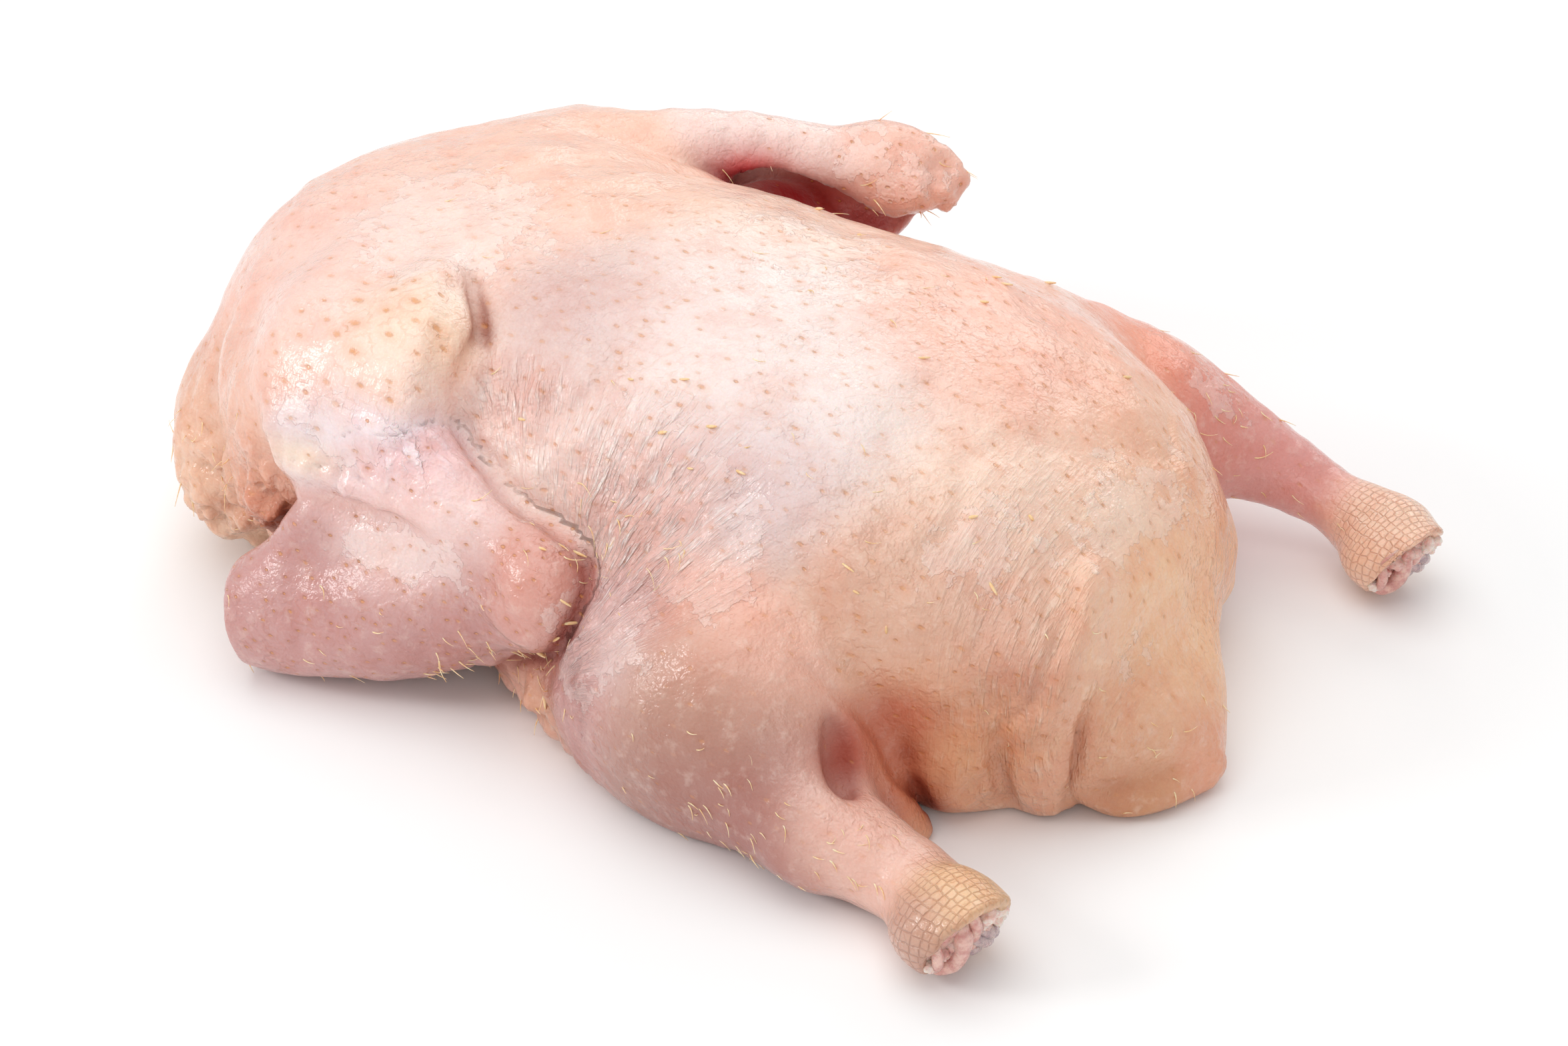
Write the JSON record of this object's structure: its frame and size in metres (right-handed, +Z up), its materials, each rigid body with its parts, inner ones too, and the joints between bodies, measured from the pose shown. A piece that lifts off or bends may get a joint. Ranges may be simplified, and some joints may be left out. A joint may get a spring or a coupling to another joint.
{
  "type": "whole duck",
  "caption": "Plucked whole duck lying on its breast, with folded wings, thick thighs, cut hocks and a drooping tail.",
  "frame": {"origin": "middle of the bounding box's underside, on the table", "axes": "+X to the tail, +Z up out of the back, near side -Y"},
  "size_m": [0.3148, 0.2482, 0.1038],
  "materials": {
    "skin": "moist, softly glossy plucked skin"
  },
  "bodies": {
    "root": {"duck": "skin"}
  },
  "joints": []
}
